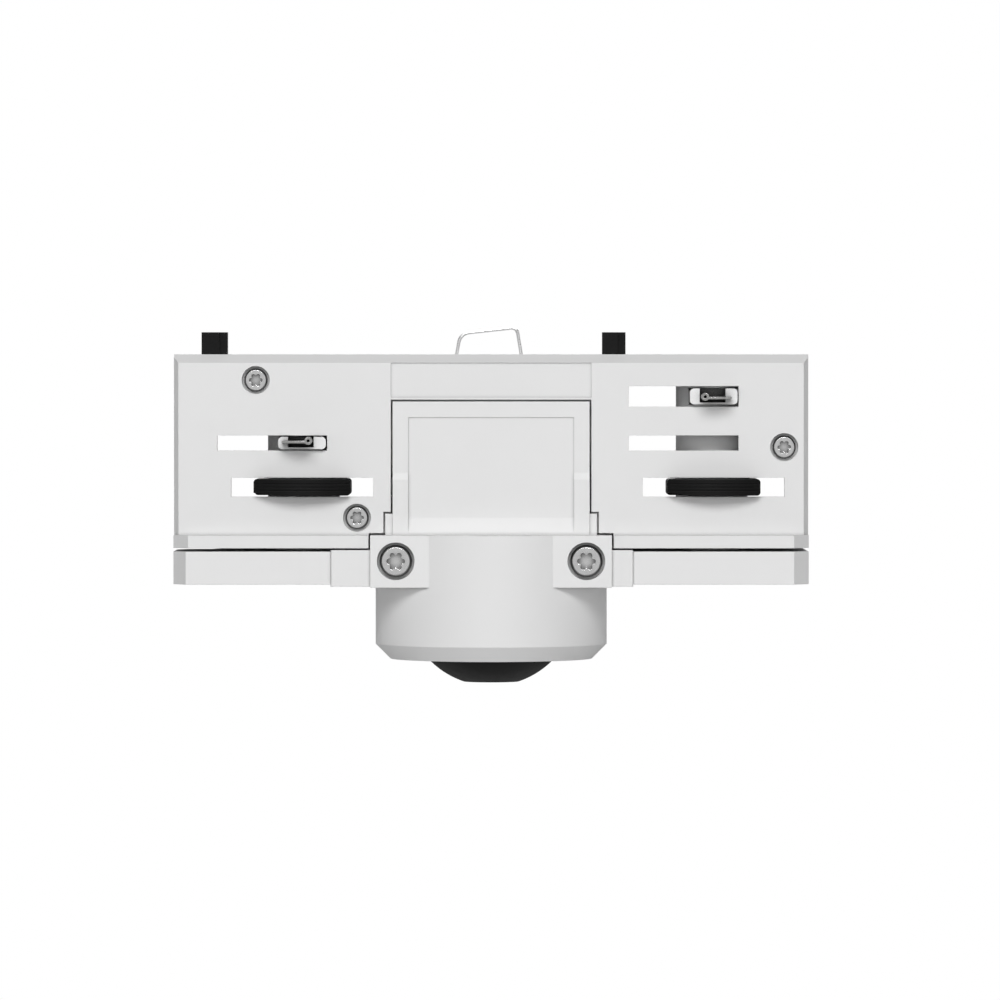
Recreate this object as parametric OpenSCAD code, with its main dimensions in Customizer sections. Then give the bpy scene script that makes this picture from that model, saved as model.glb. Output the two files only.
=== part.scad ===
// Three-circuit track light adapter with two turning locks and a pendant cord cup.
// Millimetres. X runs along the track, Y from front to back, Z up into the track.
// Z = 0 is the seat: the top of the flange, which bears on the lips of the track.

/* [Housing] */
// Overall length of the housing along the track
body_length = 107; // [100:0.5:120]
// Depth of the part that enters the track
body_depth = 22.5; // [21:0.25:25]
// Height of the housing above the seat
body_height = 30.45; // [29.5:0.05:34]
// Wall thickness of the half shells
wall = 1.6; // [1.4:0.1:2]
// Height of the bevel along the top edges
top_bevel_height = 1.45; // [0.5:0.05:2]
// Depth of the bevel along the top edges
top_bevel_depth = 2.4; // [0.5:0.1:2.6]
// Bevel of the four upright edges, along the housing
end_bevel = 0.8; // [0.3:0.1:1]
// Bevel of the four upright edges, front to back
end_bevel_depth = 1.6; // [0.5:0.1:2]
// Depth of the flange under the track, front to back
flange_depth = 31; // [29:0.5:34]
// Thickness of the flange
flange_height = 2.15; // [1.8:0.05:2.6]
// Corner chamfer of the flange and of the right lever, along the housing
flange_corner = 2.6; // [1:0.1:3]
// Corner chamfers of the flange and of the levers, front to back
corner_depth = 3.4; // [1:0.1:4]
// Half of the seam left between two mouldings that meet
seam = 0.05; // [0.02:0.01:0.1]

/* [Turning locks] */
// Position of the left turning axis along the housing
left_axis = -31.85; // [-32.5:0.05:-31.5]
// Position of the right turning axis along the housing
right_axis = 37.5; // [37.2:0.05:37.8]
// Reach of the locking cams from their axis
cam_reach = 14.9; // [13.5:0.1:15]
// Width of the left locking cam along the housing, at the front
left_cam_width = 16.3; // [14:0.1:17]
// Width of the right locking cam along the housing, at the front
right_cam_width = 15.7; // [14:0.1:17]
// Thickness of the locking cams
cam_thickness = 2.8; // [2:0.1:2.9]
// Height of the underside of the cams above the seat
cam_height = 6.65; // [6.6:0.05:6.9]
// Radius of the barrels that carry the contacts
barrel_radius = 6.1; // [5.5:0.1:6.4]
// Radius of the journals that turn in the housing floor
journal_radius = 5.2; // [4.5:0.1:5.4]
// Radial clearance of the turning fits
running_gap = 0.05; // [0.02:0.01:0.08]
// Clearance round every piece that swings
swing_gap = 0.3; // [0.25:0.05:0.4]

/* [Contacts] */
// Height of the left contact and of the lower right slot
low_contact = 15.5; // [15.3:0.1:16.5]
// Height of the right contact
high_contact = 23.35; // [22.5:0.05:23.4]
// Reach of the contact noses from their axis
contact_reach = 16.3; // [15:0.1:16.5]
// Width of the insulating carriers
carrier_width = 8; // [7:0.1:8.2]
// Height of the left carrier
low_carrier_height = 2.1; // [1.8:0.1:2.2]
// Height of the right carrier
high_carrier_height = 2.7; // [2:0.1:2.9]
// Width of the contact leaves inside their carriers
contact_width = 4; // [3.6:0.1:4.2]
// Thickness of the contact leaves
leaf = 0.4; // [0.3:0.05:0.5]

/* [Levers] */
// Height of the lever plates
lever_height = 5.55; // [5:0.05:6]
// Gap between the flange and the lever plates
lever_gap = 0.55; // [0.35:0.05:0.6]
// Reach of the round inner end of the left lever
left_lever_radius = 16.1; // [15.6:0.1:16.3]
// Reach of the round inner end of the right lever
right_lever_radius = 20.5; // [20:0.1:20.8]
// Corner chamfer of the left lever, along the housing
lever_corner = 2.2; // [1:0.1:3]

/* [Cord cup] */
// Half width of the tower of the covers
tower_half_width = 16.6; // [16:0.05:16.8]
// Top of the tower above the seat
tower_top = 22.5; // [21:0.1:22.7]
// Radius of the cup
cup_radius = 19.65; // [18.5:0.05:20]
// Bottom of the cup below the seat
cup_bottom = 21.2; // [19:0.05:24]
// Chamfer along the bottom edge of the cup
cup_chamfer = 2.5; // [1:0.1:3.5]
// Wall thickness of the cup
cup_wall = 1.8; // [1.5:0.1:2.5]
// Distance from the middle plane to the face of the ears
ear_face = 16.7; // [16:0.1:17]
// Half width over the outer sides of the ears
ear_outer = 20.3; // [19.5:0.1:20.4]
// Underside of the ears below the seat
ear_bottom = 8.75; // [8.75:0.05:9]
// Distance of the cover screws from the middle
cover_screw_x = 16; // [15.6:0.1:16.2]
// Depth of the cover screws below the seat
cover_screw_z = 4.3; // [4:0.1:4.6]

/* [Cord gland] */
// Radius of the cord hole in the cap
cord_hole = 3.6; // [2.5:0.1:4]
// Outer radius of the threaded sleeve
sleeve_radius = 6; // [5.5:0.1:7]
// Radius of the dome of the cap
dome_radius = 14.7; // [13.5:0.1:18]
// Radius of the dome where it meets the cup
dome_base = 10.8; // [9:0.1:12]
// Height of the cap
dome_height = 3.95; // [3:0.05:4.5]

/* [Hidden] */
$fn = 48;
slack = 1;
half_length = body_length / 2;
half_depth = body_depth / 2;
half_flange = flange_depth / 2;
ceiling = body_height - wall;
floor_top = 1;
cavity_half_depth = half_depth - wall;
cavity_half_length = half_length - wall;

// Chamber in the middle that takes the tower of the covers
tower_gap = 0.3;
chamber_half = tower_half_width + tower_gap;
chamber_top = tower_top + tower_gap;
partition = 1.45;
step_half = 17.85;
step_top = 3.6;
rebate = 0.3;
rib_depth = 1;
rib_height = 0.8;
ear_gap = 0.3;

// Cam slots are symmetric about the axis, contact slots open to the left of it
cam_edge = 0.6;
cam_tail = 0.8;
cam_ridges = [0.8, 1.35, 1.9];
ridge_width = 0.15;
ridge_depth = 0.12;
cam_ramp = 0.45;
cam_ramp_length = 4.7;
cam_slot_half = 11.95;
cam_slot_low = cam_height - 0.2;
cam_slot_height = cam_thickness + 0.4;
contact_slot_left = 14.3;
contact_slot_right = carrier_width / 2 + 0.2;
rear_slot_side = 1.3;
rear_slot_edge = 0.4;
low_slot_height = 2.55;
high_slot_height = 3.45;

// Contacts in the noses of their carriers: a leaf rolled up along one side
carrier_nose = half_depth + 0.9;
carrier_edge = 0.7;
carrier_floor = 0.35;
contact_depth = 6;
contact_back = carrier_nose - contact_depth;
contact_gap = 0.17;
contact_bow = 5;
roll_radius = 0.65;
roll_rise = 0.2;
roll_side = 1.8;
nose_overhang = 1.15;
left_leaf_height = 0.2;
right_leaf_height = -0.25;
right_contact_offset = -0.4;

// Stack of each turning lock: lever, cam, barrel
lever_top = -flange_height - lever_gap;
lever_bottom = lever_top - lever_height;
finger_back = 3.4;
collar_bottom = floor_top + swing_gap;
cam_top = cam_height + cam_thickness;
stub_side = 7;
stub_top = cam_top + 2;
stub_gap = 0.05;
stub_hole = stub_side + 2 * stub_gap;
pivot_tip = stub_top + 2.4;
pivot_radius = 1.5;
pivot_head_radius = 2.8;
pivot_head_depth = 2;
pivot_head_height = 1.6;
stem_radius = 2.5;
stem_top = ceiling + 0.8;
bearing_radius = 4.5;
bearing_bottom = 26.3;
left_barrel_top = 20;
right_barrel_top = bearing_bottom - 0.4;

// Positions of the shell screws on the front, as [x, z]
screw_from_left_end = 13.85;
screw_from_right_end = 4.1;
shell_screws_at = [[screw_from_left_end - half_length, 26.1], [-22.6, 2.9],
                   [half_length - screw_from_right_end, 14.8]];
boss_radius = 2.85;
shell_head_radius = 1.95;
shell_head_recess = 2.35;
shell_recess_depth = 1.35;
shell_head_inset = 0.3;
shell_shank = 1;
shell_screw_end = 7;

// Keys on the top, as [left edge, width]
key_from_left_end = 4.5;
keys_at = [[key_from_left_end - half_length, 4.35], [18.8, 3.95]];
key_front = -6;
key_depth = 4;
key_top = 34.2;
key_foot = 1.3;
key_foot_edge = 0.8;

// Earth spring, bent from wire in the middle plane: corners as [x, z] and their bend radii
bridge_floor = chamber_top + partition;
earth_plate_height = 0.8;
wire_radius = 0.28;
wire_end = bridge_floor + 0.2;
wire_corners = [[-6.9, wire_end], [-5.25, 34], [4.35, 35.05], [6.1, wire_end]];
wire_bends = [0, 2, 1, 0];

// Terminal block in the chamber
block_bottom = 11.65;
block_half_depth = 6.5;
poles_at = [-9.5, 0, 9.5];
clamp_side = 5.2;
clamp_bottom = block_bottom + 2;
clamp_height = 6;
terminal_shank = 1.25;
terminal_head = 1.6;
terminal_screw_rise = 3.4;
terminal_screw_z = clamp_bottom + terminal_screw_rise;

// Lower part of the covers
neck_split = 11.5;
lug_top = 2.3;
roof = ear_bottom + 1.65;
passage_half_width = 12;
passage_half_depth = 8;
wing_top = flange_height + 0.3;
wing_bottom = 8.6;
wing_gap = 0.15;
left_wing = -sqrt(pow(left_lever_radius, 2) - pow(half_flange, 2)) - wing_gap - left_axis;
right_wing = right_axis - sqrt(pow(right_lever_radius, 2) - pow(half_flange, 2)) - wing_gap;
cover_head_radius = 2.7;
cover_head_recess = 3.15;
cover_recess_depth = 2.3;
cover_head_inset = 0.3;
cover_shank = 1.3;
cover_screw_end = 8.9;
tongue_height = 4;

// Cord gland through the bottom of the cup
cap_floor = 1.3;
sleeve_length = 9;
sleeve_bore = cord_hole + 0.4;
nut_across = 18;
nut_height = 3;

// A box given by its two corners
module span(low, high) {
    translate(low) cube(high - low);
}

// A cylinder along Y from y1 to y2 at x, z
module rod_y(x, z, y1, y2, radius) {
    translate([x, y1, z]) rotate([-90, 0, 0]) cylinder(h = y2 - y1, r = radius);
}

// A rectangle centred on both axes, with its corners cut off by cut_x and cut_y
module chamfered(length, depth, cut_x, cut_y) {
    x = length / 2;
    y = depth / 2;
    polygon([[-x + cut_x, -y], [x - cut_x, -y], [x, -y + cut_y], [x, y - cut_y],
             [x - cut_x, y], [-x + cut_x, y], [-x, y - cut_y], [-x, -y + cut_y]]);
}

// A rectangle centred on both axes, with round corners
module rounded(length, height, radius) {
    square([length - 2 * radius, height], center = true);
    square([length, height - 2 * radius], center = true);
    for (x = [-1, 1], y = [-1, 1])
        translate([x * (length / 2 - radius), y * (height / 2 - radius)]) circle(r = radius);
}

// Six-lobed drive socket, cut downward from z = 0
module lobed_socket(radius, depth) {
    translate([0, 0, -depth]) {
        cylinder(h = depth + slack, r = radius * 0.72);
        for (turn = [0:60:300])
            rotate(turn) translate([radius * 0.72, 0, 0]) cylinder(h = depth + slack, r = radius * 0.28);
    }
}

// A pan-head screw with its tip down, the underside of the head at z = 0
module pan_screw(head_radius, head_height, shank_radius, shank_length) {
    difference() {
        rotate_extrude()
            polygon([[0, -shank_length], [shank_radius * 0.5, -shank_length],
                     [shank_radius, -shank_length + shank_radius * 0.5], [shank_radius, 0],
                     [head_radius, 0], [head_radius, head_height * 0.55],
                     [head_radius * 0.86, head_height], [0, head_height]]);
        translate([0, 0, head_height]) lobed_socket(head_radius * 0.58, head_height * 0.75);
    }
}

// Outside of the housing: bevelled block on its flange
module housing_outside() {
    intersection() {
        linear_extrude(body_height) chamfered(body_length, body_depth, end_bevel, end_bevel_depth);
        rotate([90, 0, 90])
            linear_extrude(body_length + slack, center = true)
                polygon([[-half_depth, 0], [half_depth, 0],
                         [half_depth, body_height - top_bevel_height],
                         [half_depth - top_bevel_depth, body_height],
                         [-half_depth + top_bevel_depth, body_height],
                         [-half_depth, body_height - top_bevel_height]]);
    }
    translate([0, 0, -flange_height])
        linear_extrude(flange_height) chamfered(body_length, flange_depth, flange_corner, corner_depth);
}

// Space inside the housing, less the walls of the middle chamber
module housing_cavity() {
    difference() {
        span([-cavity_half_length, -cavity_half_depth, floor_top],
             [cavity_half_length, cavity_half_depth, ceiling]);
        span([-chamber_half - partition, -half_depth, -slack],
             [chamber_half + partition, half_depth, bridge_floor]);
        span([-step_half - 2 * partition, -half_depth, -slack],
             [step_half + 2 * partition, half_depth, step_top + partition]);
        for (at = shell_screws_at)
            rod_y(at[0], at[1], -half_depth, half_depth, boss_radius);
        for (x = [left_axis, right_axis])
            translate([x, 0, bearing_bottom]) cylinder(h = body_height, r = bearing_radius);
    }
}

// Opening for the tower of the covers; its steps toward the flange are no deeper than the panels
module chamber_cut() {
    span([-chamber_half, -half_flange - slack, -flange_height - slack],
         [chamber_half, half_flange + slack, chamber_top]);
    for (side = [-1, 1])
        mirror([0, side < 0 ? 1 : 0, 0])
            span([-step_half - tower_gap, -half_flange - slack, -flange_height - slack],
                 [step_half + tower_gap, -cavity_half_depth + rebate, step_top + tower_gap]);
    span([-ear_outer - ear_gap, -half_flange - slack, -flange_height - slack],
         [ear_outer + ear_gap, half_flange + slack, ear_gap]);
}

// Rib under the roof of the chamber that closes the gap over a panel from behind
module chamber_rib() {
    front = -cavity_half_depth + rebate;
    span([-chamber_half - seam, front, chamber_top - rib_height],
         [chamber_half + seam, front + rib_depth, chamber_top + seam]);
}

// Slots that a cam and the contacts swing through, at one axis
module lock_slots(x, contact_slots) {
    slot_pair(x - cam_slot_half, x + cam_slot_half, cam_slot_low, cam_slot_low + cam_slot_height);
    for (slot = contact_slots)
        slot_pair(x - contact_slot_left, x + contact_slot_right,
                  slot[0] - slot[1] / 2, slot[0] + slot[1] / 2);
}

// A slot in the front shell and the larger slot behind it in the rear shell
module slot_pair(left, right, low, high) {
    span([left, -half_depth - slack, low], [right, 0, high]);
    span([left - rear_slot_side, 0, low - rear_slot_edge],
         [right + rear_slot_side, half_depth + slack, high + rear_slot_edge]);
}

// Room for the ends of the turned cam in the walls that they come near
module cam_pockets() {
    half = max(left_cam_width, right_cam_width) / 2 + swing_gap;
    for (x = [left_axis, right_axis])
        span([x - cam_reach - swing_gap, -half, cam_slot_low],
             [x + cam_reach + swing_gap, half, cam_slot_low + cam_slot_height]);
}

// Bores for the journal in the floor and for the stem in the ceiling
module lock_bores(x) {
    translate([x, 0, -flange_height - slack])
        cylinder(h = flange_height + floor_top + 2 * slack, r = journal_radius + running_gap);
    translate([x, 0, bearing_bottom - slack])
        cylinder(h = stem_top + swing_gap - bearing_bottom + slack, r = stem_radius + running_gap);
}

// Both half shells before they are parted
module housing() {
    difference() {
        housing_outside();
        housing_cavity();
        chamber_cut();
        lock_slots(left_axis, [[low_contact, low_slot_height]]);
        lock_slots(right_axis, [[low_contact, low_slot_height], [high_contact, high_slot_height]]);
        cam_pockets();
        lock_bores(left_axis);
        lock_bores(right_axis);
        for (at = shell_screws_at) {
            rod_y(at[0], at[1], -half_depth - slack, -half_depth + shell_recess_depth, shell_head_recess);
            rod_y(at[0], at[1], -half_depth, shell_screw_end + swing_gap, shell_shank + seam);
        }
        for (key = keys_at)
            translate([key[0], key_front, ceiling - slack])
                linear_extrude(wall + 2 * slack) key_outline(key[1], seam);
        for (end = [0, 3])
            translate([wire_leg_x(end, ceiling + wall / 2), 0, ceiling - slack])
                cylinder(h = wall + 2 * slack, r = wire_radius + swing_gap);
        for (side = [-1, 1])
            label_panel(side);
    }
    for (side = [-1, 1]) {
        mirror([side < 0 ? 1 : 0, 0, 0]) block_ledge();
        mirror([0, side < 0 ? 1 : 0, 0]) chamber_rib();
    }
}

// Shallow plain panel in the band above the tower
module label_panel(side) {
    depth = 0.2;
    y = side * half_depth;
    span([-chamber_half, y - depth, bridge_floor - 1.1],
         [chamber_half, y + depth, body_height - top_bevel_height]);
}

// Ledge on the chamber wall that carries one end of the terminal block
module block_ledge() {
    span([chamber_half - partition, -block_half_depth + 1, block_bottom - partition],
         [chamber_half + seam, block_half_depth - 1, block_bottom]);
}

module housing_front() {
    color("gainsboro") difference() {
        housing();
        span([-body_length, -seam, -body_height], [body_length, body_depth * 2, body_height * 2]);
    }
}

module housing_rear() {
    color("gainsboro") difference() {
        housing();
        span([-body_length, -body_depth * 2, -body_height], [body_length, seam, body_height * 2]);
        tongues(seam);
    }
}

// Tongues of the rear cover that hook into the chamber walls
module tongues(gap) {
    low = chamber_top - tongue_height * 2;
    for (side = [-1, 1])
        mirror([side < 0 ? 1 : 0, 0, 0])
            span([tower_half_width - slack, cavity_half_depth + 0.4 - gap, low - gap],
                 [chamber_half + partition / 2 + gap, half_depth - 0.5 + gap, low + tongue_height + gap]);
}

// Tower panel of a cover, on the front; its lower part stands proud
module tower_panel() {
    proud = 0.35;
    slope_top = 10.5;
    slope_bottom = 9.35;
    panel_half = 13.95;
    panel_top = 19.8;
    panel_bottom = 0.45;
    panel_slope = 2.9;
    panel_depth = 0.15;
    difference() {
        union() {
            rotate([90, 0, 90])
                linear_extrude(2 * tower_half_width, center = true)
                    polygon([[-cavity_half_depth, -lug_top], [-cavity_half_depth, tower_top],
                             [-half_depth, tower_top], [-half_depth, slope_top],
                             [-half_depth - proud, slope_bottom], [-half_depth - proud, -lug_top]]);
            span([-step_half, -half_depth, -slack], [step_half, -cavity_half_depth, step_top]);
        }
        rotate([90, 0, 90])
            linear_extrude(2 * panel_half, center = true)
                polygon([[-half_depth - slack, panel_bottom], [-half_depth - proud, panel_bottom],
                         [-half_depth + panel_depth, panel_slope],
                         [-half_depth + panel_depth, panel_top], [-half_depth - slack, panel_top]]);
    }
}

// Ears, neck and wings of the covers at the height of the levers
module cover_neck() {
    difference() {
        union() {
            translate([0, 0, -ear_bottom]) cylinder(h = ear_bottom, r = cup_radius);
            for (side = [-1, 1])
                span([side < 0 ? -ear_outer : 0, -ear_face, -ear_bottom],
                     [side < 0 ? 0 : ear_outer, ear_face, 0]);
            span([-left_wing, -half_flange, -wing_bottom], [right_wing, half_flange, -wing_top]);
        }
        translate([left_axis, 0, -roof])
            cylinder(h = roof + lever_top + swing_gap, r = left_lever_radius + wing_gap);
        translate([right_axis, 0, -roof])
            cylinder(h = roof + lever_top + swing_gap, r = right_lever_radius + wing_gap);
        span([-passage_half_width, -passage_half_depth, -roof],
             [passage_half_width, passage_half_depth, slack]);
        cover_screw_cuts();
    }
}

// Recess and hole of each cover screw
module cover_screw_cuts() {
    for (x = [-cover_screw_x, cover_screw_x]) {
        rod_y(x, -cover_screw_z, -ear_face - slack, -ear_face + cover_recess_depth, cover_head_recess);
        rod_y(x, -cover_screw_z, -ear_face, -cover_screw_end + swing_gap, cover_shank + seam);
    }
}

// Hollow cup with a chamfered bottom edge and a hole for the gland
module cup() {
    difference() {
        rotate_extrude()
            polygon([[0, -cup_bottom], [cup_radius - cup_chamfer, -cup_bottom],
                     [cup_radius, -cup_bottom + cup_chamfer], [cup_radius, -ear_bottom], [0, -ear_bottom]]);
        rotate_extrude()
            polygon([[0, -cup_bottom + cup_wall],
                     [cup_radius - cup_chamfer - cup_wall / 2, -cup_bottom + cup_wall],
                     [cup_radius - cup_wall, -cup_bottom + cup_chamfer + cup_wall / 2],
                     [cup_radius - cup_wall, -roof], [0, -roof]]);
        translate([0, 0, -cup_bottom - slack])
            cylinder(h = cup_wall + 2 * slack, r = sleeve_radius + seam);
        span([-passage_half_width, -passage_half_depth, -roof - slack],
             [passage_half_width, passage_half_depth, slack]);
    }
}

// Everything behind the front cover at the height of the neck; deeper where the screw lugs come forward
module behind_front_cover(gap) {
    span([-body_length, -neck_split - gap, -ear_bottom - gap], [body_length, body_depth * 2, -lug_top + gap]);
    span([-body_length, -cavity_half_depth - gap, -ear_bottom - gap], [body_length, body_depth * 2, slack]);
}

module cover_front() {
    color("whitesmoke") {
        difference() {
            union() {
                tower_panel();
                cover_neck();
            }
            behind_front_cover(seam);
        }
        difference() {
            cup();
            span([-body_length, -seam, -body_height], [body_length, body_depth * 2, body_height]);
        }
    }
}

module cover_rear() {
    color("whitesmoke") {
        rotate(180) tower_panel();
        intersection() {
            cover_neck();
            union() {
                behind_front_cover(-seam);
                span([-body_length, seam, -ear_bottom], [body_length, body_depth * 2, slack]);
            }
        }
        difference() {
            cup();
            span([-body_length, -body_depth * 2, -body_height], [body_length, seam, body_height]);
        }
        tongues(0);
    }
}

// Journal, collar and square stub that rise from a lever at its axis
module lever_post() {
    translate([0, 0, lever_top - slack])
        cylinder(h = collar_bottom - lever_top + slack, r = journal_radius);
    translate([0, 0, collar_bottom]) cylinder(h = cam_height - collar_bottom, r = barrel_radius);
    translate([0, 0, (cam_height + stub_top) / 2])
        cube([stub_side, stub_side, stub_top - cam_height], center = true);
}

// Hole and recess for the screw that draws a lock together, from below
module pivot_cut() {
    translate([0, 0, lever_bottom - slack])
        cylinder(h = pivot_head_depth + slack, r = pivot_head_radius + swing_gap);
    translate([0, 0, lever_bottom]) cylinder(h = stub_top - lever_bottom + slack, r = pivot_radius + seam);
}

// Left lever: round inner end and a long finger along the front
module lever_left() {
    end = -half_length - left_axis;
    color("gainsboro") translate([left_axis, 0, 0]) difference() {
        union() {
            translate([0, 0, lever_bottom]) linear_extrude(lever_height) {
                intersection() {
                    circle(r = left_lever_radius);
                    square([flange_depth * 2, flange_depth], center = true);
                }
                polygon([[end + lever_corner, -half_flange], [0, -half_flange], [0, finger_back],
                         [end + lever_corner, finger_back], [end, finger_back - corner_depth],
                         [end, -half_flange + corner_depth]]);
            }
            lever_post();
        }
        pivot_cut();
    }
}

// Right lever: round inner end, cut off square at the end of the housing
module lever_right() {
    end = half_length - right_axis;
    color("gainsboro") translate([right_axis, 0, 0]) difference() {
        union() {
            translate([0, 0, lever_bottom]) linear_extrude(lever_height) intersection() {
                circle(r = right_lever_radius);
                polygon([[-flange_depth, -half_flange], [end - flange_corner, -half_flange],
                         [end, -half_flange + corner_depth], [end, half_flange - corner_depth],
                         [end - flange_corner, half_flange], [-flange_depth, half_flange]]);
            }
            lever_post();
        }
        pivot_cut();
    }
}

// Locking cam: a round-edged bar with ridged circular ends, narrower behind its axis, and ramps below
module cam(x, width) {
    half = width / 2;
    color("black") translate([x, 0, cam_height]) difference() {
        intersection() {
            translate([0, 0, cam_thickness / 2]) rotate([90, 0, 0]) {
                linear_extrude(cam_reach) rounded(width, cam_thickness, cam_edge);
                translate([0, 0, -cam_reach])
                    linear_extrude(cam_reach + slack) rounded(width - 2 * cam_tail, cam_thickness, cam_edge);
            }
            cylinder(h = cam_thickness, r = cam_reach);
        }
        for (z = cam_ridges)
            translate([0, 0, z]) rotate_extrude()
                translate([cam_reach - ridge_depth, 0]) square([slack, ridge_width]);
        for (turn = [0, 180])
            rotate(turn) translate([0, -stub_side, 0]) rotate([90, 0, 0])
                linear_extrude(cam_reach)
                    polygon([[-half - slack, -slack], [-half + cam_ramp_length, -slack],
                             [-half + cam_ramp_length, 0], [-half, cam_ramp], [-half - slack, cam_ramp]]);
        cube([stub_hole, stub_hole, cam_thickness * 3], center = true);
    }
}

module cam_left() {
    cam(left_axis, left_cam_width);
}

module cam_right() {
    cam(right_axis, right_cam_width);
}

// Barrel on the square stub, with a slot for the contact carrier and a stem on top
module rotor(x, barrel_top, contact_height, carrier_height) {
    half = carrier_width / 2 + stub_gap;
    color("lightgray") translate([x, 0, 0]) difference() {
        union() {
            translate([0, 0, cam_top]) cylinder(h = barrel_top - cam_top, r = barrel_radius);
            translate([0, 0, barrel_top]) cylinder(h = stem_top - barrel_top, r = stem_radius);
        }
        translate([0, 0, (cam_top + stub_top) / 2])
            cube([stub_hole, stub_hole, stub_top - cam_top + 2 * stub_gap], center = true);
        translate([0, 0, cam_top]) cylinder(h = pivot_tip + stub_gap - cam_top, r = pivot_radius + seam);
        span([-half, -barrel_radius - slack, contact_height - carrier_height / 2 - stub_gap],
             [half, half, contact_height + carrier_height / 2 + stub_gap]);
    }
}

module rotor_left() {
    rotor(left_axis, left_barrel_top, low_contact, low_carrier_height);
}

module rotor_right() {
    rotor(right_axis, right_barrel_top, high_contact, high_carrier_height);
}

// Insulating carrier that holds a contact, with a pocket in its nose
module carrier(x, contact_height, carrier_height, side, offset_x) {
    back = carrier_width / 2;
    low = -carrier_height / 2 + carrier_floor;
    color("white") translate([x, 0, contact_height]) difference() {
        rotate([90, 0, 0]) translate([0, 0, -back])
            linear_extrude(carrier_nose + back) rounded(carrier_width, carrier_height, carrier_edge);
        translate([offset_x, 0, 0]) mirror([side < 0 ? 1 : 0, 0, 0])
            span([roll_side - contact_width - contact_gap, -carrier_nose - slack, low],
                 [roll_side + contact_gap, -contact_back + seam, carrier_height]);
    }
}

module carrier_left() {
    carrier(left_axis, low_contact, low_carrier_height, 1, 0);
}

module carrier_right() {
    carrier(right_axis, high_contact, high_carrier_height, -1, right_contact_offset);
}

// Contact bent from strip: a leaf rolled up along one side, its bowed nose wider on the other
module contact(x, contact_height, side, offset_x, leaf_height) {
    roll_x = roll_side - roll_radius;
    inside = roll_side - contact_width;
    tip = inside - nose_overhang;
    bow_centre = -contact_reach + contact_bow;
    nose_length = contact_reach - carrier_nose - contact_gap;
    color("silver") translate([x + offset_x, 0, contact_height + leaf_height])
        mirror([side < 0 ? 1 : 0, 0, 0]) intersection() {
            rotate([90, 0, 0]) linear_extrude(contact_reach) difference() {
                union() {
                    translate([tip, -leaf / 2]) square([roll_x - tip, leaf]);
                    translate([roll_x, roll_rise]) circle(r = roll_radius);
                }
                translate([roll_x, roll_rise]) circle(r = roll_radius - leaf);
            }
            linear_extrude(4 * roll_radius, center = true) intersection() {
                union() {
                    translate([0, bow_centre]) circle(r = contact_bow);
                    translate([inside, bow_centre]) square([contact_width, contact_reach]);
                }
                union() {
                    translate([inside, -contact_reach]) square([contact_width, contact_reach - contact_back]);
                    translate([tip, -contact_reach]) square([nose_overhang + slack, nose_length]);
                }
            }
        }
}

module contact_left() {
    contact(left_axis, low_contact, 1, 0, left_leaf_height);
}

module contact_right() {
    contact(right_axis, high_contact, -1, right_contact_offset, right_leaf_height);
}

// Screw that draws lever, cam and barrel together, driven from below
module pivot_screw(x) {
    under_head = lever_bottom + pivot_head_depth;
    color("silver") translate([x, 0, under_head]) mirror([0, 0, 1])
        pan_screw(pivot_head_radius, pivot_head_height, pivot_radius, pivot_tip - under_head);
}

module pivot_screw_left() {
    pivot_screw(left_axis);
}

module pivot_screw_right() {
    pivot_screw(right_axis);
}

// Plan of a key: a block with a set-back edge on the right
module key_outline(width, gap) {
    step_width = 1.3;
    step_depth = 0.7;
    polygon([[-gap, -gap], [width - step_width + gap, -gap], [width - step_width + gap, step_depth - gap],
             [width + gap, step_depth - gap], [width + gap, key_depth + gap], [-gap, key_depth + gap]]);
}

// Coding key: a post through the top wall, held by its foot underneath
module key(at) {
    color("black") translate([at[0], key_front, 0]) {
        translate([0, 0, ceiling - key_foot])
            linear_extrude(key_top - ceiling + key_foot) key_outline(at[1], 0);
        span([-key_foot_edge, -key_foot_edge, ceiling - key_foot],
             [at[1] + key_foot_edge, key_depth + key_foot_edge, ceiling]);
    }
}

module key_left() {
    key(keys_at[0]);
}

module key_right() {
    key(keys_at[1]);
}

// Direction of the wire after a corner, its turn at a corner and the length that the bend takes up
function heading(i) = (wire_corners[i + 1] - wire_corners[i]) / norm(wire_corners[i + 1] - wire_corners[i]);
function turn(i) = acos(heading(i - 1) * heading(i));
function trim(i) = wire_bends[i] == 0 ? 0 : wire_bends[i] * tan(turn(i) / 2);

// Position along the housing of the leg of the wire that starts at an end, at a given height
function wire_leg_x(end, z) = let (foot = wire_corners[end], top = wire_corners[end == 0 ? 1 : end - 1])
    foot[0] + (top[0] - foot[0]) * (z - foot[1]) / (top[1] - foot[1]);

// Straight run of the wire that starts at a corner
module wire_run(i) {
    step = heading(i);
    start = wire_corners[i] + step * trim(i);
    run = norm(wire_corners[i + 1] - wire_corners[i]) - trim(i) - trim(i + 1);
    lap = 0.1;
    translate([start[0], 0, start[1]]) rotate([0, atan2(step[0], step[1]), 0]) translate([0, 0, -lap])
        cylinder(h = run + 2 * lap, r = wire_radius);
}

// Bend of the wire at a corner, where it turns to the right; upset a little, and lapped by the runs
module wire_bend(i) {
    upset = 0.015;
    before = heading(i - 1);
    after = heading(i);
    centre = wire_corners[i] - before * trim(i) + [before[1], -before[0]] * wire_bends[i];
    translate([centre[0], 0, centre[1]]) rotate([90, 0, 0]) rotate(atan2(after[0], -after[1]))
        rotate_extrude(angle = turn(i)) translate([wire_bends[i], 0]) circle(r = wire_radius + upset);
}

module earth_spring() {
    color("silver") {
        for (i = [0:2]) wire_run(i);
        for (i = [1:2]) wire_bend(i);
    }
}

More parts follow.
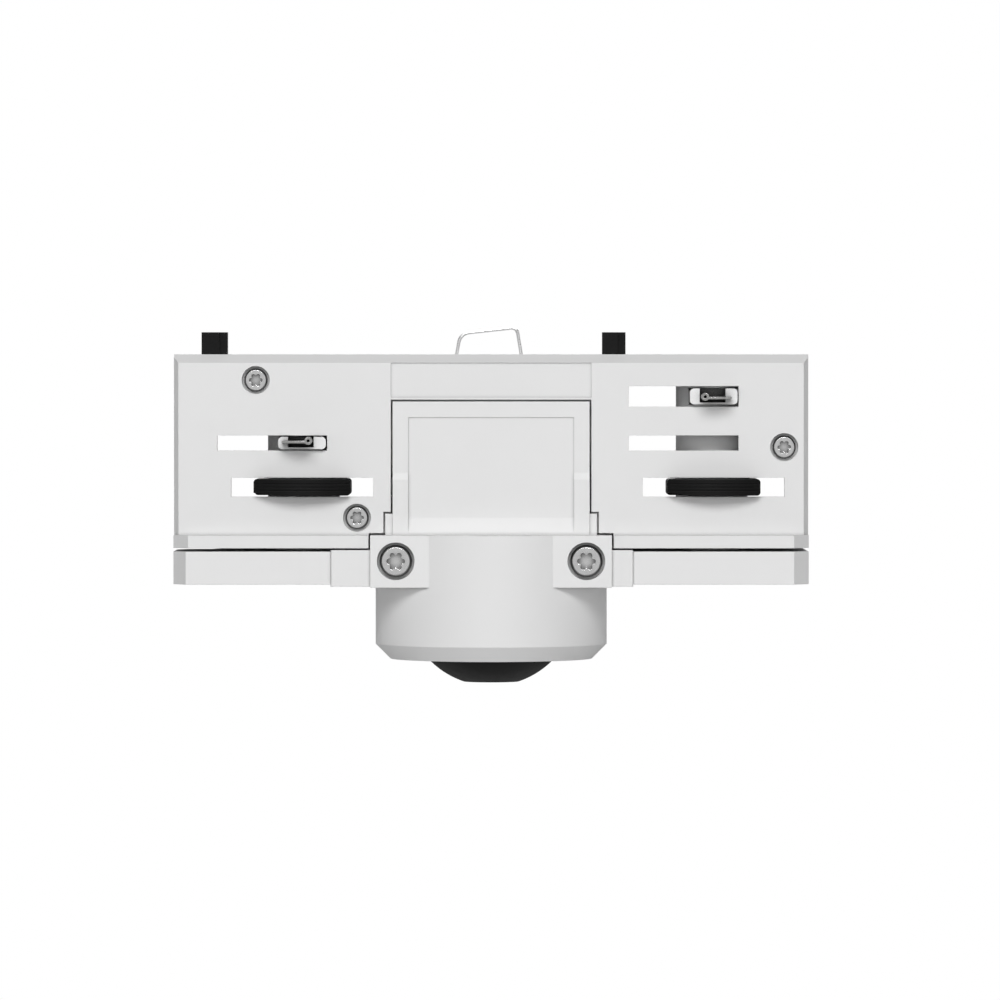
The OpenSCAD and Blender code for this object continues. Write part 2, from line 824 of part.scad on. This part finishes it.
// Plate on the bridge floor that the ends of the earth spring are fixed to
module earth_plate() {
    edge = 2;
    first = wire_corners[0];
    last = wire_corners[3];
    color("gold") difference() {
        span([first[0] - edge, -edge, bridge_floor],
             [last[0] + edge, edge, bridge_floor + earth_plate_height]);
        for (end = [0, 3])
            translate([wire_leg_x(end, bridge_floor + earth_plate_height / 2), 0, bridge_floor - slack])
                cylinder(h = slack * 3, r = wire_radius + 3 * seam);
    }
}

module shell_screws() {
    seat = -half_depth + shell_recess_depth;
    head_height = shell_recess_depth - shell_head_inset;
    color("silver") for (at = shell_screws_at)
        translate([at[0], seat, at[1]]) rotate([90, 0, 0])
            pan_screw(shell_head_radius, head_height, shell_shank, shell_screw_end - seat);
}

module cover_screws() {
    seat = -ear_face + cover_recess_depth;
    head_height = cover_recess_depth - cover_head_inset;
    color("silver") for (x = [-cover_screw_x, cover_screw_x])
        translate([x, seat, -cover_screw_z]) rotate([90, 0, 0])
            pan_screw(cover_head_radius, head_height, cover_shank, -cover_screw_end - seat);
}

// Terminal block with a pocket, a wire hole and a screw hole for each pole
module terminal_block() {
    half = chamber_half - seam;
    pocket = clamp_side / 2 + stub_gap;
    wire_hole = 1.6;
    color("ivory") difference() {
        span([-half, -block_half_depth, block_bottom], [half, block_half_depth, tower_top]);
        for (x = poles_at) {
            span([x - pocket, -pocket, clamp_bottom], [x + pocket, pocket, tower_top + slack]);
            translate([x, 0, block_bottom - slack])
                cylinder(h = clamp_bottom - block_bottom + 2 * slack, r = wire_hole);
            rod_y(x, terminal_screw_z, -block_half_depth - slack, 0, terminal_head + seam);
        }
    }
}

// Brass clamps of the terminal block
module terminal_clamps() {
    wire_hole = 1.4;
    color("gold") for (x = poles_at)
        difference() {
            span([x - clamp_side / 2, -clamp_side / 2, clamp_bottom],
                 [x + clamp_side / 2, clamp_side / 2, clamp_bottom + clamp_height]);
            translate([x, 0, clamp_bottom - slack]) cylinder(h = clamp_height, r = wire_hole);
            rod_y(x, terminal_screw_z, -clamp_side, 0, terminal_shank + seam);
        }
}

module terminal_screws() {
    head = 1.2;
    seat = -clamp_side / 2 - 0.6;
    color("silver") for (x = poles_at)
        translate([x, seat, terminal_screw_z]) rotate([90, 0, 0])
            pan_screw(terminal_head, head, terminal_shank, -seat - 1.6);
}

// Domed cap of the cord gland, under the cup
module gland_cap() {
    centre = sqrt(pow(dome_radius, 2) - pow(dome_base, 2));
    color("black") translate([0, 0, -cup_bottom]) difference() {
        intersection() {
            translate([0, 0, centre]) sphere(r = dome_radius);
            translate([0, 0, -dome_height]) cylinder(h = dome_height - seam, r = dome_base);
        }
        translate([0, 0, -dome_height - slack]) cylinder(h = dome_height + slack, r = cord_hole);
        translate([0, 0, -dome_height + cap_floor]) cylinder(h = dome_height, r = sleeve_radius + seam);
    }
}

// Threaded sleeve through the bottom of the cup
module gland_sleeve() {
    low = -cup_bottom - dome_height + cap_floor + 2 * seam;
    color("dimgray") translate([0, 0, low]) difference() {
        cylinder(h = sleeve_length, r = sleeve_radius);
        translate([0, 0, -slack]) cylinder(h = sleeve_length + 2 * slack, r = sleeve_bore);
    }
}

// Hexagon nut on the sleeve, inside the cup
module gland_nut() {
    color("dimgray") translate([0, 0, -cup_bottom + cup_wall + seam]) difference() {
        cylinder(h = nut_height, r = nut_across / sqrt(3), $fn = 6);
        translate([0, 0, -slack]) cylinder(h = nut_height + 2 * slack, r = sleeve_radius + seam);
    }
}

housing_front();
housing_rear();
cover_front();
cover_rear();
lever_left();
lever_right();
cam_left();
cam_right();
rotor_left();
rotor_right();
carrier_left();
carrier_right();
contact_left();
contact_right();
pivot_screw_left();
pivot_screw_right();
key_left();
key_right();
earth_spring();
earth_plate();
shell_screws();
cover_screws();
terminal_block();
terminal_clamps();
terminal_screws();
gland_cap();
gland_sleeve();
gland_nut();
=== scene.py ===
"""Looks of the track light adapter: materials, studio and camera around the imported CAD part. Metres."""

import bpy
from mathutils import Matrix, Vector


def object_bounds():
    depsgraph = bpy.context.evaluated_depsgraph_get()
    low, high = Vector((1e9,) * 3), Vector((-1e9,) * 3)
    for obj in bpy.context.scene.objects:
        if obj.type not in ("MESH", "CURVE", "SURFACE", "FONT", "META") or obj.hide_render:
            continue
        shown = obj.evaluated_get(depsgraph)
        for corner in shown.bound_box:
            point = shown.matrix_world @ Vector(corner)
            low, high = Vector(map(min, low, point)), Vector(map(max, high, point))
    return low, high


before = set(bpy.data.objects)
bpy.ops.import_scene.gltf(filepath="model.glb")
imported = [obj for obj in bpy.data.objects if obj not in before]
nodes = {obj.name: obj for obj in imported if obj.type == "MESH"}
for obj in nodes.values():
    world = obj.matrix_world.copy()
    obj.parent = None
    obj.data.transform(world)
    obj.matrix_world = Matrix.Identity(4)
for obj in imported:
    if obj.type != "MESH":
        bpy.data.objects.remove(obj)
cad_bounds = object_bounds()

# Camera: in front of the housing, a little below its top, aimed at a point on its face
FACE = -0.01125
AIM = (0.0015, FACE, 0.0059)
CAMERA_Z = 0.0266
CAMERA_DISTANCE = 1.2
PICTURE_WIDTH = 0.1685
SENSOR = 36.0  # width in millimetres

# Floor: its depth under the part, and the light added to it where the camera sees it
FLOOR_DROP = 0.75
FLOOR_SIZE = 10.0
FLOOR_GLOW = 0.7
FLOOR_GRAIN = 300.0

# World: strength of the light from all round, of what is reflected and of what the camera sees
FILL = 0.12
SHINE = 1.05
WHITE = 1.0
# Greys of the reflected world by height, from 0 at the horizon and below to 1 straight up
SHINE_LOW = 0.55
SHINE_BANDS = ((0.38, 0.35), (0.5, 0.12), (0.62, 0.5), (0.75, 1.0))
SHINE_HIGH = 0.9

# Soft lights: all are aimed at the origin
ORIGIN = (0, 0, 0)
SIDE_REACH = 1.1

# Plastic: scales of its tone, grain and wear, height of the grain, and change of roughness with wear
TONE_SCALE = 45.0
GRAIN_SCALE = 5200.0
WEAR_SCALE = 420.0
GRAIN_HEIGHT = 0.00004
DULLED = 0.965
# Greatest share of the lighter edge colour on plastic: partly wear, partly a painted edge highlight
EDGE_WEAR_AND_HIGHLIGHT_SHARE = 0.9
ROUGHNESS_SWING = 0.08

# Metal: scales of its scratches and stains, strength and height of the scratches, and the painted
# highlight that brightens edges
SCRATCH_SCALE = 1500.0
STAIN_SCALE = 700.0
SCRATCH_STRENGTH = 0.25
SCRATCH_HEIGHT = 0.00003
EDGE_HIGHLIGHT_GAIN = 1.1

# An edge counts fully in the edge mask (edge wear and painted edge highlight) where its rounded normal
# leaves the flat one by this cosine
EDGE_MASK_COSINE = 0.8
# Colour of the painted shade that ambient occlusion lays into hollows and recesses
PAINTED_SHADE_TINT = 0.02

# Sockets of a colour mix node
MIX_FACTOR, MIX_FIRST, MIX_SECOND, MIX_RESULT = 0, 6, 7, 2


def grey(level):
    return (level, level, level)


class Graph:
    """A node tree being filled, with short ways to add and join nodes."""

    def __init__(self, tree):
        self.tree = tree
        tree.nodes.clear()

    def add(self, kind, **values):
        made = self.tree.nodes.new(kind)
        for key, value in values.items():
            setattr(made, key, value)
        return made

    def join(self, source, target):
        self.tree.links.new(source, target)

    def noise(self, coordinates, scale, detail=3.0, roughness=0.55):
        made = self.add("ShaderNodeTexNoise")
        made.inputs["Scale"].default_value = scale
        made.inputs["Detail"].default_value = detail
        made.inputs["Roughness"].default_value = roughness
        self.join(coordinates, made.inputs["Vector"])
        return made.outputs["Fac"]

    def spread(self, value, low, high):
        """Maps 0..1 to low..high."""
        made = self.add("ShaderNodeMapRange")
        made.inputs["To Min"].default_value = low
        made.inputs["To Max"].default_value = high
        self.join(value, made.inputs["Value"])
        return made.outputs["Result"]

    def product(self, first, second):
        made = self.add("ShaderNodeMath", operation="MULTIPLY")
        self.join(first, made.inputs[0])
        self.join(second, made.inputs[1])
        return made.outputs[0]

    def between(self, factor, first, second):
        """A colour between two colours, each given as a tuple or as a socket."""
        made = self.add("ShaderNodeMix", data_type="RGBA")
        self.join(factor, made.inputs[MIX_FACTOR])
        for colour, place in ((first, MIX_FIRST), (second, MIX_SECOND)):
            if isinstance(colour, tuple):
                made.inputs[place].default_value = (*colour, 1.0)
            else:
                self.join(colour, made.inputs[place])
        return made.outputs[MIX_RESULT]

    def background(self, strength):
        """White world light of a given strength."""
        made = self.add("ShaderNodeBackground")
        made.inputs["Color"].default_value = (*grey(1), 1)
        made.inputs["Strength"].default_value = strength
        return made

    def choose(self, factor, first, second):
        """A mix of two shaders."""
        made = self.add("ShaderNodeMixShader")
        self.join(factor, made.inputs[0])
        self.join(first, made.inputs[1])
        self.join(second, made.inputs[2])
        return made.outputs[0]

    def close(self, surface):
        """Joins the surface to the material's output."""
        output = self.add("ShaderNodeOutputMaterial")
        self.join(surface.outputs["BSDF"], output.inputs["Surface"])


def new_material(name):
    """An empty material and the graph that fills it."""
    material = bpy.data.materials.new(name)
    material.use_nodes = True
    return material, Graph(material.node_tree)


def soft_edges(graph, radius, bumps, strength, height):
    """Normal with rounded edges and a fine bump over it, and a mask that is 1 on edges, which carries
    edge wear and painted edge highlights.
    """
    bevel = graph.add("ShaderNodeBevel", samples=4)
    bevel.inputs["Radius"].default_value = radius
    bump = graph.add("ShaderNodeBump")
    bump.inputs["Strength"].default_value = strength
    bump.inputs["Distance"].default_value = height
    graph.join(bumps, bump.inputs["Height"])
    graph.join(bevel.outputs["Normal"], bump.inputs["Normal"])
    flat = graph.add("ShaderNodeNewGeometry")
    dot = graph.add("ShaderNodeVectorMath", operation="DOT_PRODUCT")
    graph.join(bevel.outputs["Normal"], dot.inputs[0])
    graph.join(flat.outputs["Normal"], dot.inputs[1])
    mask = graph.add("ShaderNodeMapRange")
    mask.inputs["From Min"].default_value = 1.0
    mask.inputs["From Max"].default_value = EDGE_MASK_COSINE
    graph.join(dot.outputs["Value"], mask.inputs["Value"])
    return bump.outputs["Normal"], mask.outputs["Result"]


def painted_hollow_shade(graph, tint, painted_shade_level, reach):
    """Painted shade: a colour that falls off to black in hollows as narrow as reach; the lower the given
    level, the darker the painted shade.
    """
    hollow = graph.add("ShaderNodeAmbientOcclusion", samples=8)
    hollow.inputs["Distance"].default_value = reach
    return graph.between(graph.spread(hollow.outputs["AO"], painted_shade_level, 1.0), grey(PAINTED_SHADE_TINT), tint)


def moulded(name, colour, edge_wear_and_highlight, roughness, grain, edge, gloss=0.4, painted_shade_level=1.0, reach=0.0006):
    """Moulded plastic: fine eroded grain, slow tone changes, edges lighter from wear and a painted
    highlight, painted shade in hollows if the shade level is below 1.
    """
    material, graph = new_material(name)
    where = graph.add("ShaderNodeTexCoord").outputs["Object"]
    tone = graph.noise(where, TONE_SCALE, 4.0)
    fine = graph.noise(where, GRAIN_SCALE, 2.0)
    wear = graph.noise(where, WEAR_SCALE, 5.0, 0.7)
    normal, edges = soft_edges(graph, edge, fine, grain, GRAIN_HEIGHT)
    dull = tuple(c * DULLED for c in colour)
    base = graph.between(graph.spread(tone, 0.0, 1.0), dull, colour)
    # Edges lighter in colour: partly wear, partly a painted highlight
    tint = graph.between(graph.product(edges, graph.spread(wear, 0.0, EDGE_WEAR_AND_HIGHLIGHT_SHARE)), base, edge_wear_and_highlight)
    # Painted shade: ambient occlusion darkens hollows and recesses
    if painted_shade_level < 1.0:
        tint = painted_hollow_shade(graph, tint, painted_shade_level, reach)
    surface = graph.add("ShaderNodeBsdfPrincipled")
    surface.inputs["Specular IOR Level"].default_value = gloss
    rough = graph.spread(wear, roughness - ROUGHNESS_SWING, roughness + ROUGHNESS_SWING)
    graph.join(tint, surface.inputs["Base Color"])
    graph.join(rough, surface.inputs["Roughness"])
    graph.join(normal, surface.inputs["Normal"])
    graph.close(surface)
    return material


def metal(name, colour, stained, roughness, stretch, edge, painted_shade_level=1.0, reach=0.001):
    """Plated or drawn metal: fine scratches, stains, a painted highlight on edges, painted shade in
    hollows if the shade level is below 1.
    """
    material, graph = new_material(name)
    where = graph.add("ShaderNodeTexCoord").outputs["Object"]
    stretched = graph.add("ShaderNodeMapping")
    stretched.inputs["Scale"].default_value = stretch
    graph.join(where, stretched.inputs["Vector"])
    scratches = graph.noise(stretched.outputs["Vector"], SCRATCH_SCALE, 4.0)
    stains = graph.noise(where, STAIN_SCALE, 4.0, 0.65)
    normal, edges = soft_edges(graph, edge, scratches, SCRATCH_STRENGTH, SCRATCH_HEIGHT)
    # Painted highlight: edges get a brighter copy of the metal colour
    edge_highlight = tuple(min(1.0, c * EDGE_HIGHLIGHT_GAIN) for c in colour)
    base = graph.between(graph.spread(stains, 0.0, 1.0), stained, colour)
    tint = graph.between(edges, base, edge_highlight)
    # Painted shade: ambient occlusion darkens hollows such as sockets and recesses
    if painted_shade_level < 1.0:
        tint = painted_hollow_shade(graph, tint, painted_shade_level, reach)
    surface = graph.add("ShaderNodeBsdfPrincipled")
    surface.inputs["Metallic"].default_value = 1.0
    graph.join(tint, surface.inputs["Base Color"])
    graph.join(graph.spread(scratches, roughness - 0.07, roughness + 0.1), surface.inputs["Roughness"])
    graph.join(normal, surface.inputs["Normal"])
    graph.close(surface)
    return material


def dress(material, *names):
    """Gives CAD nodes one material."""
    for name in names:
        mesh = nodes[name].data
        mesh.materials.clear()
        mesh.materials.append(material)


# Painted shade in the housing's hollows, such as the rings around the screw heads
dress(
    moulded("shell_grey", grey(0.775), grey(0.81), roughness=0.5, grain=0.12, edge=0.00015, painted_shade_level=0.5),
    "housing_front",
    "housing_rear",
)
# Painted shade in the cover's hollows and corners
dress(
    moulded("cover_grey", grey(0.785), grey(0.83), roughness=0.48, grain=0.12, edge=0.0002, painted_shade_level=0.5),
    "cover_front",
    "cover_rear",
)
dress(
    moulded("lever_grey", grey(0.79), grey(0.84), roughness=0.48, grain=0.12, edge=0.0002),
    "lever_left",
    "lever_right",
)
dress(
    moulded("barrel_grey", grey(0.9), grey(0.92), roughness=0.5, grain=0.12, edge=0.0002),
    "rotor_left",
    "rotor_right",
)
# Strong painted shade in the contact pocket and the slot around it
dress(
    moulded("carrier_white", grey(0.93), grey(0.95), 0.36, 0.06, 0.00015, painted_shade_level=-0.3, reach=0.005),
    "carrier_left",
    "carrier_right",
)
dress(
    moulded("terminal_ivory", (0.82, 0.81, 0.76), (0.86, 0.85, 0.8), 0.5, 0.1, 0.0002),
    "terminal_block",
)
dress(
    moulded("black_nylon", grey(0.005), grey(0.028), roughness=0.5, grain=0.3, edge=0.0002, gloss=0.13),
    "cam_left",
    "cam_right",
    "key_left",
    "key_right",
    "gland_cap",
)
dress(
    moulded("gland_grey", grey(0.04), grey(0.08), roughness=0.5, grain=0.2, edge=0.0002),
    "gland_sleeve",
    "gland_nut",
)
dress(
    metal("contact_plate", (0.66, 0.66, 0.65), (0.36, 0.36, 0.35), 0.16, stretch=(1, 6, 1), edge=0.0001),
    "contact_left",
    "contact_right",
)
# Painted shade in the screw sockets and recesses
dress(
    metal("zinc_screw", grey(0.9), grey(0.7), 0.2, stretch=(1, 1, 1), edge=0.00015, painted_shade_level=0.0),
    "shell_screws",
    "cover_screws",
    "pivot_screw_left",
    "pivot_screw_right",
    "terminal_screws",
)
dress(
    metal("spring_wire", grey(0.95), grey(0.75), 0.28, stretch=(1, 1, 5), edge=0.0001),
    "earth_spring",
)
dress(
    metal("brass", (0.78, 0.62, 0.3), (0.6, 0.45, 0.2), 0.3, stretch=(1, 1, 4), edge=0.0001),
    "earth_plate",
    "terminal_clamps",
)


def floor():
    """Pale matt paper under the part."""
    low = cad_bounds[0][2] - FLOOR_DROP
    bpy.ops.mesh.primitive_plane_add(size=FLOOR_SIZE, location=(0, 0, low))
    plane = bpy.context.object
    plane.name = "floor"
    material, graph = new_material("floor_paper")
    where = graph.add("ShaderNodeTexCoord").outputs["Object"]
    paper = graph.noise(where, FLOOR_GRAIN)
    seen = graph.add("ShaderNodeLightPath").outputs["Is Camera Ray"]
    surface = graph.add("ShaderNodeBsdfPrincipled")
    surface.inputs["Roughness"].default_value = 0.9
    surface.inputs["Emission Color"].default_value = (*grey(1), 1)
    graph.join(graph.between(paper, grey(0.9), grey(0.93)), surface.inputs["Base Color"])
    graph.join(graph.spread(seen, 0.0, FLOOR_GLOW), surface.inputs["Emission Strength"])
    graph.close(surface)
    plane.data.materials.append(material)


def softbox(name, place, width, height, watts, mirrored=True):
    """A rectangular soft light aimed at the origin, left out of reflections if not mirrored."""
    light = bpy.data.lights.new(name, "AREA")
    light.shape = "RECTANGLE"
    light.size = width
    light.size_y = height
    light.energy = watts
    lamp = bpy.data.objects.new(name, light)
    lamp.location = place
    lamp.visible_glossy = mirrored
    lamp.rotation_euler = (Vector(ORIGIN) - Vector(place)).to_track_quat("-Z", "Y").to_euler()
    bpy.context.scene.collection.objects.link(lamp)


def reflected_bands(graph):
    """Grey that changes with the height that a reflection points to."""
    split = graph.add("ShaderNodeSeparateXYZ")
    graph.join(graph.add("ShaderNodeTexCoord").outputs["Generated"], split.inputs[0])
    bands = graph.add("ShaderNodeValToRGB")
    ramp = bands.color_ramp
    ramp.elements[0].position = 0.0
    ramp.elements[0].color = (*grey(SHINE_LOW), 1)
    ramp.elements[1].position = 1.0
    ramp.elements[1].color = (*grey(SHINE_HIGH), 1)
    for place, level in SHINE_BANDS:
        ramp.elements.new(place).color = (*grey(level), 1)
    graph.join(graph.spread(split.outputs["Z"], 0.0, 1.0), bands.inputs["Fac"])
    return bands.outputs["Color"]


def studio_world():
    """White behind the part; dimmer light from all round; banded light for reflections."""
    world = bpy.data.worlds.new("studio")
    bpy.context.scene.world = world
    world.use_nodes = True
    graph = Graph(world.node_tree)
    paths = graph.add("ShaderNodeLightPath")
    shine = graph.background(SHINE)
    graph.join(reflected_bands(graph), shine.inputs["Color"])
    fill = graph.background(FILL)
    white = graph.background(WHITE)
    lit = graph.choose(paths.outputs["Is Glossy Ray"], fill.outputs[0], shine.outputs[0])
    seen = graph.choose(paths.outputs["Is Camera Ray"], lit, white.outputs[0])
    output = graph.add("ShaderNodeOutputWorld")
    graph.join(seen, output.inputs["Surface"])


def camera():
    """Long lens straight in front of the housing."""
    lens = bpy.data.cameras.new("camera")
    lens.sensor_width = SENSOR
    lens.lens = SENSOR * CAMERA_DISTANCE / PICTURE_WIDTH
    eye = bpy.data.objects.new("camera", lens)
    eye.location = (AIM[0], FACE - CAMERA_DISTANCE, CAMERA_Z)
    eye.rotation_euler = (Vector(AIM) - eye.location).to_track_quat("-Z", "Y").to_euler()
    bpy.context.scene.collection.objects.link(eye)
    bpy.context.scene.camera = eye


floor()
studio_world()
softbox("key", (-0.02, -1.14, 0.65), width=0.75, height=0.45, watts=10.3)
softbox("back", (0.1, 1.2, 0.6), width=0.8, height=0.6, watts=13.0)
for side in (-SIDE_REACH, SIDE_REACH):
    softbox("side_fill", (side, -0.75, 0.1), width=0.6, height=0.6, watts=1.3, mirrored=False)
softbox("front_fill", (0.0, -1.35, 0.06), width=0.5, height=0.5, watts=3.0, mirrored=False)
camera()
bpy.context.scene.view_settings.view_transform = "Standard"
